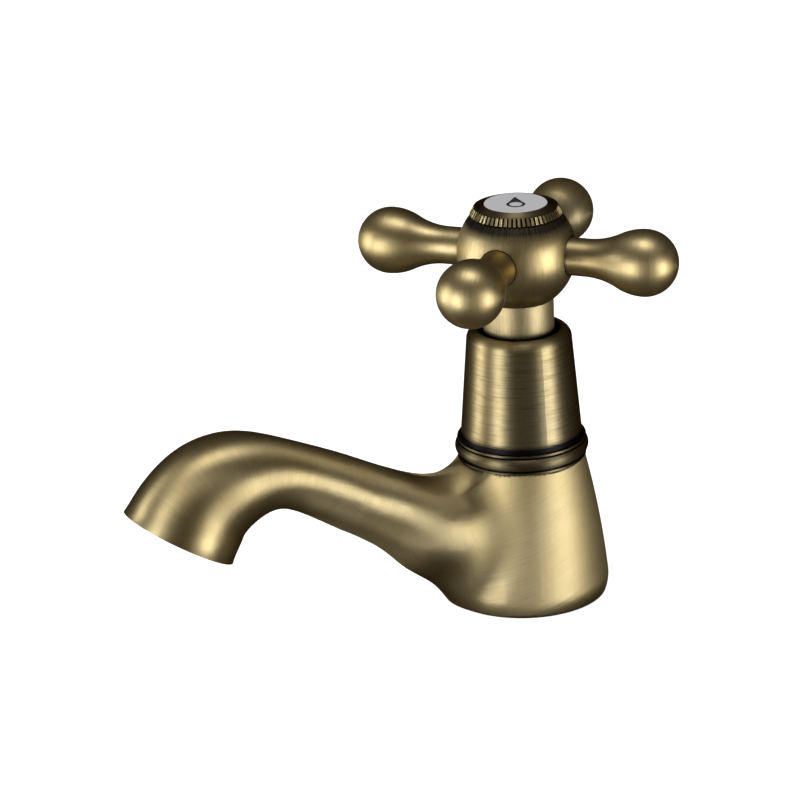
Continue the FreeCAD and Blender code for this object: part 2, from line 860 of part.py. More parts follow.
def mouth_body(label, depth):
    """A body whose Z axis points out of the spout's mouth, set back from the mouth's plane."""
    body = doc.addObject("PartDesign::Body", label)
    body.Label = label
    reach, level, rise = PATH["mouth"]
    back_reach = reach - depth * cosine(rise)
    back_level = level - depth * sine(rise)
    tilt = 90 - rise
    body.Placement = FreeCAD.Placement(vector(y=-back_reach.number, z=back_level.number),
                                       FreeCAD.Rotation(vector(x=1), tilt.number))
    body.setExpression("Placement.Base.y", (-back_reach).text)
    body.setExpression("Placement.Base.z", back_level.text)
    body.setExpression("Placement.Rotation.Angle", tilt.text)
    return body


def make_aerator_shell():
    """Threaded sleeve with a lip at its outlet and two notches for its key."""
    depth = size("aerator_recess") + size("aerator_length")
    body = mouth_body("aerator_shell", depth)
    outer, length = size("aerator_radius"), size("aerator_length")
    inner = outer - size("aerator_wall")
    lip = inner - size("aerator_lip_width")
    turned(body, "sleeve", [(inner, 0), (outer, 0), (outer, length), (lip, length),
                            (lip, length - size("aerator_lip_thickness")),
                            (inner, length - size("aerator_lip_thickness"))])
    doc.recompute()
    half_key = size("aerator_key_width") / 2
    notch = outline(body, "notch_outline", "XZ_Plane",
                    rectangle(-half_key, length - size("aerator_lip_thickness") / 2, half_key, length))
    cut_both_ways(body, "notches", notch, 4 * outer)
    return body


def make_aerator_mesh():
    """Screen with square holes, resting on the shell's lip."""
    depth = size("aerator_recess") + size("aerator_lip_thickness") + size("mesh_thickness")
    body = mouth_body("aerator_mesh", depth)
    radius = size("aerator_radius") - size("aerator_wall") - size("thread_clearance")
    pad(body, "screen", circles(body, "screen_outline", [radius]), size("mesh_thickness"))
    doc.recompute()
    pitch, half_hole = size("mesh_pitch"), size("mesh_hole") / 2
    span = (size("mesh_rows") - 1) * pitch
    first = -span / 2
    hole = outline(body, "hole_outline", "XY_Plane",
                   rectangle(first - half_hole, first - half_hole, first + half_hole, first + half_hole))
    cut = pocket(body, "hole", hole, against_normal=False)
    doc.recompute()
    grid = body.newObject("PartDesign::MultiTransform", "holes")
    rows = []
    for name, axis in (("row", "X_Axis"), ("column", "Y_Axis")):
        line = body.newObject("PartDesign::LinearPattern", name)
        line.Direction = (origin_part(body, axis), [""])
        line.setExpression("Length", span.text)
        line.setExpression("Occurrences", size("mesh_rows").text)
        rows.append(line)
    grid.Originals = [cut]
    grid.Transformations = rows
    body.Tip = grid
    return body


def make_aerator_washer():
    depth = size("aerator_recess") + size("aerator_length") + size("aerator_washer_thickness")
    body = mouth_body("aerator_washer", depth)
    outer = size("aerator_radius") - size("thread_clearance")
    turned(body, "ring", rectangle(outer - size("aerator_washer_width"), 0, outer,
                                   size("aerator_washer_thickness")))
    return body


# ---------------------------------------------------------------- fixed pieces: tail and clamp


def make_inlet_tail():
    """Threaded tail, screwed up into the casting, with a chamfer at its free end."""
    drop, chamfer = size("tail_drop"), size("tail_end_chamfer")
    body = new_body("inlet_tail", -drop)
    outer, bore = size("tail_radius"), size("tail_bore_radius")
    top = drop + tail_top
    turned(body, "tube", [(bore, 0), (outer - chamfer, 0), (outer, chamfer), (outer, top), (bore, top)])
    return body


def make_tail_seal():
    return make_washer("tail_seal", tail_top, size("tail_seal_inner_radius"),
                       tail_bore - size("thread_clearance"), size("tail_seal_thickness"))


def make_base_gasket():
    slack = size("thread_clearance")
    return make_washer("base_gasket", as_size(0), size("gasket_inner_radius") + slack,
                       gasket_radius - slack, size("gasket_thickness"))


def make_deck_washer():
    return make_washer("deck_washer", washer_foot, size("tail_radius") + size("loose_clearance"),
                       (size("base_radius") - size("deck_washer_inset")), size("deck_washer_thickness"))


def make_backnut_washer():
    return make_washer("backnut_washer", backnut_top, size("tail_radius") + size("loose_clearance"),
                       size("backnut_washer_radius"), size("backnut_washer_thickness"))


def make_backnut():
    """Hexagon nut with its corners turned off at both ends."""
    height, flats = size("backnut_height"), size("backnut_across_flats")
    body = new_body("backnut", backnut_top - height)
    plate = outline(body, "hex_outline", "XY_Plane", hexagon(flats))
    draw_circle(plate, tail_bore)
    pad(body, "hex", plate, height)
    doc.recompute()
    touch, beyond = flats / 2, flats
    drop = (beyond - touch) * sine(30) / cosine(30)
    turned_cut(body, "low_corners", [(touch, 0), (beyond, 0), (beyond, drop)])
    doc.recompute()
    turned_cut(body, "high_corners", [(touch, height), (beyond, height - drop), (beyond, height)])
    return body


# ---------------------------------------------------------------- turning pieces: the spindle


def spline_tooth(root_radius, tip_radius, root_half, tip_half):
    """Outline of one tooth on the X axis."""
    return [(root_radius, -root_half), (tip_radius, -tip_half), (tip_radius, tip_half),
            (root_radius, root_half)]


def stem_ring_heights():
    first = spindle_foot + size("stem_ring_first_height")
    return first, first + size("stem_ring_spacing")


def stem_ring_radius():
    """Middle radius of the rings on the stem, which just clear the housing's bore."""
    return stem_bore - size("disc_gap") - size("stem_ring_wire")


def make_cartridge_spindle():
    """Spindle: tongue and plate below, ringed stem, circlip groove and a splined top."""
    body = new_body("cartridge_spindle", spindle_foot)
    plate, plate_height = size("spindle_plate_radius"), size("spindle_plate_thickness")
    stem, top = size("stem_radius"), stem_top - spindle_foot
    core, core_top = size("spline_root_radius"), spline_top - spindle_foot
    wire, slack = size("stem_ring_wire"), size("running_clearance")
    floor = stem_ring_radius() - wire - slack
    section = [(0, 0), (plate, 0), (plate, plate_height), (stem, plate_height)]
    for level in stem_ring_heights():
        low, high = level - spindle_foot - wire - slack, level - spindle_foot + wire + slack
        section += [(stem, low), (floor, low), (floor, high), (stem, high)]
    clip_low = sleeve_top - spindle_foot + slack
    clip_high = clip_low + size("circlip_thickness") + slack
    clip_floor = size("circlip_groove_radius")
    hole, hole_foot = size("screw_radius") + size("thread_clearance"), core_top - size("screw_hole_depth")
    section += [(stem, clip_low), (clip_floor, clip_low), (clip_floor, clip_high), (stem, clip_high),
                (stem, top), (core, top), (core, core_top), (hole, core_top), (hole, hole_foot),
                (0, hole_foot)]
    turned(body, "stem", section)
    doc.recompute()
    half_tongue = size("drive_slot_width") / 2 - size("thread_clearance")
    tongue_reach = disc_radius - size("key_depth")
    tongue = outline(body, "tongue_outline", "XY_Plane",
                     rectangle(-tongue_reach, -half_tongue, tongue_reach, half_tongue))
    tongue_pad = pad(body, "tongue", tongue, size("drive_slot_depth") - size("thread_clearance"))
    tongue_pad.Reversed = True
    doc.recompute()
    tooth_outline = outline(body, "tooth_outline", "XY_Plane",
                            spline_tooth(core - slack, size("spline_tip_radius"),
                                         size("spline_tooth_root_width") / 2,
                                         size("spline_tooth_tip_width") / 2), top)
    tooth = pad(body, "tooth", tooth_outline, size("spline_length"))
    doc.recompute()
    around(body, "spline", [tooth], size("spline_teeth"))
    return body


def make_spindle_o_rings():
    """The two rings in the stem's grooves, as one node of two solids."""
    rings = [make_ring_seal(f"stem_ring_{number}", stem_ring_radius(), size("stem_ring_wire"), level)
             for number, level in enumerate(stem_ring_heights(), start=1)]
    pair = doc.addObject("Part::Compound", "spindle_o_rings")
    pair.Label = "spindle_o_rings"
    pair.Links = rings
    return pair


def make_thrust_washer():
    return make_washer("thrust_washer", plate_top, size("stem_radius") + size("loose_clearance"),
                       size("spindle_plate_radius"), size("thrust_washer_thickness"))


def split_ring(label, height, inner, outer, thickness, gap):
    """A flat ring with a gap on its -Y side."""
    body = make_washer(label, height, inner, outer, thickness)
    doc.recompute()
    cut = outline(body, "gap_outline", "XY_Plane", rectangle(-gap / 2, -outer - 1, gap / 2, 0))
    pocket(body, "gap", cut, against_normal=False)
    return body


def make_spindle_circlip():
    slack = size("running_clearance")
    height = sleeve_top + slack + slack / 2
    return split_ring("spindle_circlip", height, size("circlip_groove_radius") + slack,
                      size("circlip_radius"), size("circlip_thickness"), size("circlip_gap_width"))


# ---------------------------------------------------------------- turning pieces: the handle


def make_handle_hub():
    """Ball with a round neck: splined socket below, cap bore above and four arm sockets."""
    body = new_body("handle_hub", size("ball_height"), size("arm_rest_angle"))
    middle = size("ball_height")
    ball, neck = size("ball_radius"), size("hub_neck_radius")
    top, foot = size("ball_top_above_middle"), hub_foot - middle
    cap_bore, cap_floor = size("cap_bore_radius"), top - size("cap_bore_depth")
    screw_pocket = size("screw_pocket_radius")
    hole = size("screw_radius") + size("loose_clearance")
    slack = size("running_clearance")
    socket = size("spline_root_radius") + slack
    turned(body, "ball", [(socket, foot), (neck, foot), (neck, -root(ball * ball - neck * neck)),
                          Bend(ball, 1), (root(ball * ball - top * top), top), (cap_bore, top),
                          (cap_bore, cap_floor), (screw_pocket, cap_floor),
                          (screw_pocket, web_top - middle), (hole, web_top - middle),
                          (hole, web_foot - middle), (socket, web_foot - middle)])
    doc.recompute()
    groove_outline = outline(body, "groove_outline", "XY_Plane",
                             spline_tooth(socket - slack, size("spline_tip_radius") + slack,
                                          size("spline_tooth_root_width") / 2 + slack,
                                          size("spline_tooth_tip_width") / 2 + slack), foot)
    groove = pocket(body, "groove", groove_outline, web_foot - middle - foot, against_normal=False)
    doc.recompute()
    around(body, "spline_socket", [groove], size("spline_teeth"))
    doc.recompute()

    floor = size("socket_floor")
    face = circles(body, "socket_outline", [size("socket_radius")], "YZ_Plane", floor)
    face_cut = pocket(body, "socket", face, against_normal=False)
    doc.recompute()
    bore = circles(body, "spigot_outline", [size("spigot_radius") + size("thread_clearance")],
                   "YZ_Plane", floor)
    bore_cut = pocket(body, "spigot_bore", bore, floor - size("spigot_end") + size("thread_clearance"))
    doc.recompute()
    around(body, "arm_sockets", [face_cut, bore_cut], len(ARMS))
    return body


def make_handle_arm(place, quarter):
    """Round arm along its own X axis: spigot, neck, hollow, swell and a ball end."""
    body = new_body("handle_arm_" + place, size("ball_height"), size("arm_rest_angle") + quarter)
    neck, spigot, spigot_end = size("arm_neck_radius"), size("spigot_radius"), size("spigot_end")
    shoulder = size("socket_floor")
    bulb, bulb_reach = size("arm_bulb_radius"), size("arm_bulb_reach")
    swell, hollow = size("arm_swell_radius"), size("arm_hollow_radius")
    centres = swell + hollow
    across = centres + neck - bulb
    along = root(centres * centres - across * across)
    hollow_start = bulb_reach - along
    join_reach = bulb_reach - swell * along / centres
    join_radius = bulb - swell + swell * across / centres
    section = outline(body, "arm_section", "XZ_Plane",
                      [(spigot_end, 0), (spigot_end, spigot), (shoulder, spigot), (shoulder, neck),
                       (hollow_start, neck), Bend(hollow, 1), (join_reach, join_radius),
                       Bend(swell, -1), (bulb_reach, bulb), Bend(bulb, -1), (bulb_reach + bulb, 0)])
    revolve(body, "arm", section, axis="H_Axis")
    return body


def make_index_cap():
    """Knurled cap that screws into the hub and holds the disc in its top."""
    body = new_body("index_cap", hub_top)
    spigot = size("cap_bore_radius") - size("thread_clearance")
    drop, height = size("cap_spigot_length"), size("cap_height")
    radius, line, line_height = size("cap_radius"), size("cap_line_radius"), size("cap_line_height")
    recess = size("disc_radius") + size("thread_clearance")
    floor = height - size("disc_thickness")
    bore = spigot - size("cap_spigot_wall")
    knurl_radius, knurl_height = size("knurl_top_radius"), size("knurl_top_height")
    turned(body, "rim", [(bore, -drop), (spigot, -drop), (spigot, 0), (line, 0), (line, line_height),
                         (radius, line_height), (knurl_radius, knurl_height), (recess, height),
                         (recess, floor), (bore, floor)])
    doc.recompute()
    run, rise, depth = radius - knurl_radius, knurl_height - line_height, size("knurl_depth")
    notch_outline = new_sketch(body, "notch_outline", "XY_Plane")
    lean = arctangent(run, rise)
    notch_outline.AttachmentOffset = FreeCAD.Placement(
        vector(x=radius.number, z=line_height.number), FreeCAD.Rotation(vector(y=-1), lean.number))
    notch_outline.setExpression("AttachmentOffset.Base.x", radius.text)
    notch_outline.setExpression("AttachmentOffset.Base.z", line_height.text)
    notch_outline.setExpression("AttachmentOffset.Rotation.Angle", lean.text)
    draw_line(notch_outline, [(-depth, 0), (depth, -2 * depth), (depth, 2 * depth)])
    notch = pocket(body, "notch", notch_outline, 1.5 * rise, against_normal=False)
    doc.recompute()
    around(body, "knurl", [notch], size("knurl_teeth"))
    return body


def make_index_disc():
    body = new_body("index_disc", hub_top + size("cap_height") - size("disc_thickness"))
    radius, thickness = size("disc_radius"), size("disc_thickness")
    disc = pad(body, "disc", circles(body, "disc_outline", [radius]), thickness)
    doc.recompute()
    round_edges(body, "edge", disc, ring_edges(disc.Shape, radius, thickness), size("disc_edge_round"))
    return body


def make_handle_screw():
    """Cap screw that holds the hub on the spindle."""
    body = new_body("handle_screw", web_top + size("lock_washer_thickness"))
    shank, length = size("screw_radius"), size("screw_length")
    head, head_height = size("screw_head_radius"), size("screw_head_height")
    turned(body, "screw", [(0, -length), (shank, -length), (shank, 0), (head, 0), (head, head_height),
                           (0, head_height)])
    doc.recompute()
    key = outline(body, "key_outline", "XY_Plane", hexagon(size("screw_key_across_flats")), head_height)
    pocket(body, "key", key, size("screw_key_depth"))
    return body


def make_screw_lock_washer():
    return split_ring("screw_lock_washer", web_top, size("screw_radius") + size("loose_clearance"),
                      size("lock_washer_radius"), size("lock_washer_thickness"),
                      size("lock_washer_split"))


# ---------------------------------------------------------------- the whole tap


def make_pieces():
    pieces = [make_tap_body(), make_collar_ring(), make_shroud(), make_cartridge_housing(),
              make_housing_o_ring(), make_seat_seal(), make_fixed_ceramic_disc(),
              make_aerator_shell(), make_aerator_mesh(), make_aerator_washer(),
              make_inlet_tail(), make_tail_seal(), make_base_gasket(), make_deck_washer(),
              make_backnut_washer(), make_backnut(),
              make_moving_ceramic_disc(), make_cartridge_spindle(), make_spindle_o_rings(),
              make_thrust_washer(), make_spindle_circlip(), make_handle_hub(), make_index_cap(),
              make_index_disc(), make_handle_screw(), make_screw_lock_washer()]
    pieces += [make_handle_arm(place, quarter) for place, quarter in ARMS.items()]
    return pieces


def check(pieces):
    """Stops where an object of the document failed, or a piece isn't a valid solid."""
    for item in doc.Objects:
        if "Invalid" in item.State or "Error" in item.State:
            raise RuntimeError(f"{item.Label}: {item.State}")
    for piece in pieces:
        shape = piece.Shape
        if shape.isNull() or not shape.isValid() or not shape.Solids:
            raise RuntimeError(f"{piece.Label}: no valid solid")


all_pieces = make_pieces()
doc.recompute()
check(all_pieces)
os.makedirs("parts", exist_ok=True)
for one in all_pieces:
    one.Shape.exportStep(f"parts/{one.Label}.step")
    print(f"{one.Label:24s} {len(one.Shape.Solids)} solid  {one.Shape.Volume:10.1f} mm3")
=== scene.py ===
import json
import math

import bmesh
import bpy
import numpy as np
from mathutils import Matrix, Vector


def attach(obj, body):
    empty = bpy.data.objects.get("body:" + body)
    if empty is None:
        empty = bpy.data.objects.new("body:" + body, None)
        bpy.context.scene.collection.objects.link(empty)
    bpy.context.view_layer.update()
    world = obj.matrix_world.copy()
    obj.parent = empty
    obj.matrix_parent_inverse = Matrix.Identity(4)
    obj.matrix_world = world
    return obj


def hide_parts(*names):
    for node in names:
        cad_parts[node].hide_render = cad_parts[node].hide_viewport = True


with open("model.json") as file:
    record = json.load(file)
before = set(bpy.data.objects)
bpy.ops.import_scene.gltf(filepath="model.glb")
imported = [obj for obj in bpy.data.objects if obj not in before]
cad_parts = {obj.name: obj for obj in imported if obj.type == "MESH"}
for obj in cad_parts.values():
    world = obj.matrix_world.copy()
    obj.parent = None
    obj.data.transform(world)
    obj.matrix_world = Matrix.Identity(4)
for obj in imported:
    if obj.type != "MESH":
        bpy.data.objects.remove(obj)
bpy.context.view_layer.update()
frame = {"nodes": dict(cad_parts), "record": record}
NODES = frame["nodes"]
scene = bpy.context.scene

# ------------------------------------------------------------------ camera

AZIMUTH = math.radians(66.944)
ELEVATION = math.radians(20.916)
ROLL = math.radians(-2.136)
EYE = Vector((0.9156, -0.4251, 0.4415))
LENS, SENSOR = 180, 36

forward = Vector((-math.sin(AZIMUTH) * math.cos(ELEVATION),
                  math.cos(AZIMUTH) * math.cos(ELEVATION), -math.sin(ELEVATION)))
level_right = Vector((math.cos(AZIMUTH), math.sin(AZIMUTH), 0))
level_up = level_right.cross(forward)
right = level_right * math.cos(ROLL) + level_up * math.sin(ROLL)
up = level_up * math.cos(ROLL) - level_right * math.sin(ROLL)

camera_data = bpy.data.cameras.new("camera")
camera = bpy.data.objects.new("camera", camera_data)
scene.collection.objects.link(camera)
camera_data.lens = LENS
camera_data.sensor_width = SENSOR
camera_data.clip_start = 0.01
camera_data.clip_end = 20
pose = Matrix((right, up, -forward)).transposed().to_4x4()
pose.translation = EYE
camera.matrix_world = pose
scene.camera = camera

# ------------------------------------------------------------------ light and floor

scene.view_settings.view_transform = "Standard"
scene.view_settings.look = "None"

AIM = Vector((0, -0.02, 0.05))
WORLD_COLOUR, WORLD_STRENGTH = (1.0, 0.78, 0.58, 1), 0.045
FLOOR_REACH, FLOOR_DROP = 4.0, -0.0003
FLOOR_COLOUR, FLOOR_GLOW = (0.86, 0.86, 0.86, 1), 0.9


def from_camera(angle, elevation, distance):
    """A place at a distance from AIM, so many degrees to the left of the camera and so high."""
    bearing = math.atan2(-forward.y, -forward.x) - math.radians(angle)
    rise = math.radians(elevation)
    return AIM + distance * Vector((math.cos(bearing) * math.cos(rise),
                                    math.sin(bearing) * math.cos(rise), math.sin(rise)))


def soft_box(name, angle, elevation, distance, width, height, power):
    """A white area light that faces AIM."""
    data = bpy.data.lights.new(name, "AREA")
    data.shape = "RECTANGLE"
    data.size = width
    data.size_y = height
    data.energy = power
    lamp = bpy.data.objects.new(name, data)
    scene.collection.objects.link(lamp)
    place = from_camera(angle, elevation, distance)
    lamp.location = place
    lamp.rotation_euler = (AIM - place).to_track_quat("-Z", "Y").to_euler()
    return lamp


soft_box("left_box", 46, -4, 1.2, 0.36, 0.8, 7.2)
soft_box("far_left_box", 92, 0, 1.2, 0.35, 0.8, 6)
soft_box("right_box", -58, -5, 1.2, 0.46, 0.8, 8.0)
soft_box("top_box", 0, 84, 1.6, 0.7, 0.7, 8.5)
soft_box("disc_box", 10, 80, 1.6, 0.7, 0.7, 4.5).visible_glossy = False

world = bpy.data.worlds.new("studio")
scene.world = world
world.use_nodes = True
tree = world.node_tree
tree.nodes.clear()
background = tree.nodes.new("ShaderNodeBackground")
background.inputs["Color"].default_value = WORLD_COLOUR
background.inputs["Strength"].default_value = WORLD_STRENGTH
out = tree.nodes.new("ShaderNodeOutputWorld")
tree.links.new(background.outputs[0], out.inputs[0])

# ------------------------------------------------------------------ node helpers

class Maker:
    """Adds nodes to one material and links them by short names."""

    def __init__(self, name):
        self.material = bpy.data.materials.new(name)
        self.material.use_nodes = True
        self.tree = self.material.node_tree
        self.tree.nodes.clear()
        self.shader = self.node("ShaderNodeBsdfPrincipled")
        out = self.node("ShaderNodeOutputMaterial")
        self.tree.links.new(self.shader.outputs[0], out.inputs[0])

    def node(self, kind, **settings):
        made = self.tree.nodes.new(kind)
        for key, value in settings.items():
            setattr(made, key, value)
        return made

    def put(self, socket, value):
        """Links the socket to another socket, or sets it to a plain value."""
        if hasattr(value, "is_linked"):
            self.tree.links.new(value, socket)
        else:
            socket.default_value = value

    def math(self, operation, *values, clamp=False):
        made = self.node("ShaderNodeMath", operation=operation, use_clamp=clamp)
        for socket, value in zip(made.inputs, values):
            self.put(socket, value)
        return made.outputs[0]

    def place(self):
        return self.node("ShaderNodeTexCoord").outputs["Object"]

    def split(self, vector):
        made = self.node("ShaderNodeSeparateXYZ")
        self.put(made.inputs[0], vector)
        return made.outputs

    def join(self, x, y, z):
        made = self.node("ShaderNodeCombineXYZ")
        for socket, value in zip(made.inputs, (x, y, z)):
            self.put(socket, value)
        return made.outputs[0]

    def noise(self, vector, scale, detail, rough):
        made = self.node("ShaderNodeTexNoise")
        self.put(made.inputs["Vector"], vector)
        made.inputs["Scale"].default_value = scale
        made.inputs["Detail"].default_value = detail
        made.inputs["Roughness"].default_value = rough
        return made.outputs["Fac"]

    def to_world(self, direction):
        made = self.node("ShaderNodeVectorTransform", vector_type="VECTOR", convert_from="OBJECT",
                         convert_to="WORLD")
        self.put(made.inputs[0], direction)
        return made.outputs[0]

    def span(self, value, low, high, to_low=0.0, to_high=1.0, smooth=False):
        """Maps low..high to to_low..to_high, and holds the ends beyond that."""
        made = self.node("ShaderNodeMapRange",
                         interpolation_type="SMOOTHSTEP" if smooth else "LINEAR")
        for socket, number in zip(made.inputs, (value, low, high, to_low, to_high)):
            self.put(socket, number)
        return made.outputs[0]

    def mix(self, factor, first, second):
        """Blends two colours. Inputs 6 and 7 and output 2 are the colour sockets."""
        made = self.node("ShaderNodeMix", data_type="RGBA")
        self.put(made.inputs[0], factor)
        self.put(made.inputs[6], first)
        self.put(made.inputs[7], second)
        return made.outputs[2]

    def occlusion(self, distance):
        made = self.node("ShaderNodeAmbientOcclusion", samples=8)
        made.inputs["Distance"].default_value = distance
        return made.outputs["AO"]

    def bump(self, height, strength, distance, after=None):
        made = self.node("ShaderNodeBump")
        made.inputs["Strength"].default_value = strength
        made.inputs["Distance"].default_value = distance
        self.put(made.inputs["Height"], height)
        if after is not None:
            self.put(made.inputs["Normal"], after)
        return made.outputs[0]


# ------------------------------------------------------------------ brush strokes

# the spout's path in the plane x = 0, as reach out from the tap's axis and height, in metres
RISE = math.radians(29.4)
RISE_END = (0.0624, 0.0437)
CREST_CENTRE, CREST_BEND = (0.0793, 0.0137), 0.0344
CREST_END = math.radians(5.2)
NOZZLE_CENTRE, NOZZLE_BEND = (0.0806, 0.0280), 0.0200
NOZZLE_FALL = math.radians(58.1)

# where the casting's strokes pass from round the axis to round the spout, by reach
BASE_STROKES_END, SPOUT_STROKES_START = 0.018, 0.040
# the base's strokes are slanted: their height and reach weigh so much
STROKE_HEIGHT, STROKE_REACH = 0.93, 0.37
# how far the strokes' direction leans down on the base, none of it on the line x = 0
SLANT, SLANT_FROM_SIDE = 0.008, 0.008
# weight of the spout's stroke direction against the base's, which is a radius in metres
SPOUT_WEIGHT = 0.02
HUB_STROKE_RADIUS = 0.018


def along_spout(m, reach, height):
    """How far along the spout's path a point lies, and how far the path has turned down there."""
    def turn(centre, low, high):
        angle = m.math("ARCTAN2", m.math("SUBTRACT", reach, centre[0]),
                       m.math("SUBTRACT", height, centre[1]))
        return m.span(angle, low, high, low, high)

    over_crest = turn(CREST_CENTRE, -RISE, CREST_END)
    over_nozzle = turn(NOZZLE_CENTRE, CREST_END, NOZZLE_FALL)
    out = m.math("MULTIPLY", m.math("SUBTRACT", reach, RISE_END[0]), math.cos(RISE))
    climb = m.math("MULTIPLY", m.math("SUBTRACT", height, RISE_END[1]), math.sin(RISE))
    on_rise = m.math("MINIMUM", m.math("ADD", out, climb), 0.0)
    length = m.math("ADD", on_rise, m.math("MULTIPLY", over_crest, CREST_BEND))
    length = m.math("ADD", length, m.math("MULTIPLY", over_nozzle, NOZZLE_BEND))
    return length, m.math("SUBTRACT", m.math("ADD", over_crest, over_nozzle), CREST_END)


def brushing(m, kind, place):
    """The place, measured first across the brush strokes, and the tangent for the highlights.

    turned: strokes round the tap's axis. upright: strokes up and down. arms: strokes square to
    the handle's left and right arms. casting: strokes round the axis on the base, and round the
    spout's path on the spout.
    """
    x, y, z = m.split(place)[:3]
    if kind == "turned":
        return (z, x, y), m.join(0.0, 0.0, 1.0)
    if kind == "upright":
        angle = m.math("ARCTAN2", y, x)
        radial = m.node("ShaderNodeTangent", direction_type="RADIAL", axis="Z").outputs[0]
        return (m.math("MULTIPLY", angle, HUB_STROKE_RADIUS), z, z), radial
    if kind == "arms":
        side = m.math("MULTIPLY", m.math("ADD", x, y), math.sqrt(0.5))
        return (side, z, m.math("SUBTRACT", x, y)), m.to_world(m.join(1.0, 1.0, 0.0))
    reach = m.math("MULTIPLY", y, -1.0)
    length, turn = along_spout(m, reach, z)
    on_spout = m.span(reach, BASE_STROKES_END, SPOUT_STROKES_START, smooth=True)
    on_base = m.math("SUBTRACT", 1.0, on_spout)
    slant = m.math("ADD", m.math("MULTIPLY", z, STROKE_HEIGHT),
                   m.math("MULTIPLY", reach, STROKE_REACH))
    across = m.math("ADD", m.math("MULTIPLY", length, on_spout),
                    m.math("MULTIPLY", slant, on_base))
    side = m.math("SIGN", x)
    base_x = m.math("MULTIPLY", m.math("MULTIPLY", y, side), on_base)
    base_y = m.math("MULTIPLY", m.math("MULTIPLY", x, side), on_base)
    lean = m.span(m.math("ABSOLUTE", x), 0.0, SLANT_FROM_SIDE, 0.0, SLANT)
    spout_share = m.math("MULTIPLY", on_spout, SPOUT_WEIGHT)
    outward = m.math("ADD", m.math("MULTIPLY", m.math("COSINE", turn), spout_share), base_y)
    downward = m.math("ADD", m.math("MULTIPLY", m.math("SINE", turn), spout_share),
                      m.math("MULTIPLY", on_base, lean))
    return (across, x, z), m.join(base_x, m.math("MULTIPLY", outward, -1.0),
                                  m.math("MULTIPLY", downward, -1.0))


def strokes(m, lines, across, along, seed):
    """Noise drawn out along the strokes: so many waves per metre across them and along them."""
    first, second, third = lines
    vector = m.join(m.math("ADD", m.math("MULTIPLY", first, across), seed),
                    m.math("MULTIPLY", second, along), m.math("MULTIPLY", third, along))
    return m.noise(vector, 1.0, 3.0, 0.62)


# ------------------------------------------------------------------ finishes

ANISOTROPY = {"turned": 0.75, "upright": 0.45, "arms": 0.35, "casting": 0.75}
PALE_BRASS, WARM_BRASS = (0.625, 0.53, 0.31, 1), (0.555, 0.435, 0.205, 1)
EDGE_TINT = (0.15, 0.13, 0.10, 1)
# the second dark colour here is mixed in for patina and for painted shade in hollows
SCRATCH, PATINA_AND_SHADE = (0.40, 0.31, 0.14, 1), (0.020, 0.018, 0.020, 1)

# brush lines as waves per metre across and along, and a seed
FINE_LINES, HAIR_LINES, LONG_LINES = (5600, 150, 0.3), (2700, 120, 4.1), (1000, 60, 9.7)
GRAIN_LINES = (1500, 60, 2.0)
# how far away a surface may be that makes a hollow, which ambient occlusion paints dark: partly
# patina, partly painted shade
PATINA_AND_SHADE_REACH = 0.007

# the knurled face from its foot to its top, each as radius of the teeth's tips and height
HUB_TOP = 0.1075
KNURL_FOOT, KNURL_TOP = (0.0124, HUB_TOP + 0.0004), (0.0114, HUB_TOP + 0.00225)
# how far below the tips' face the metal turns dark, and how far it stays bright
KNURL_DARK, KNURL_BRIGHT = -0.00022, -0.00006


def knurl_tips(m, place):
    """How near a place is to the tips of the knurl's teeth, and whether it lies at their height."""
    x, y, z = m.split(place)[:3]
    out = m.math("SQRT", m.math("ADD", m.math("MULTIPLY", x, x), m.math("MULTIPLY", y, y)))
    face = m.span(z, KNURL_FOOT[1], KNURL_TOP[1], KNURL_FOOT[0], KNURL_TOP[0])
    tips = m.span(m.math("SUBTRACT", out, face), KNURL_DARK, KNURL_BRIGHT)
    band = m.math("MULTIPLY", m.span(z, KNURL_FOOT[1], KNURL_FOOT[1] + 0.0001),
                  m.span(z, KNURL_TOP[1], KNURL_TOP[1] + 0.0002, 1.0, 0.0))
    return tips, band


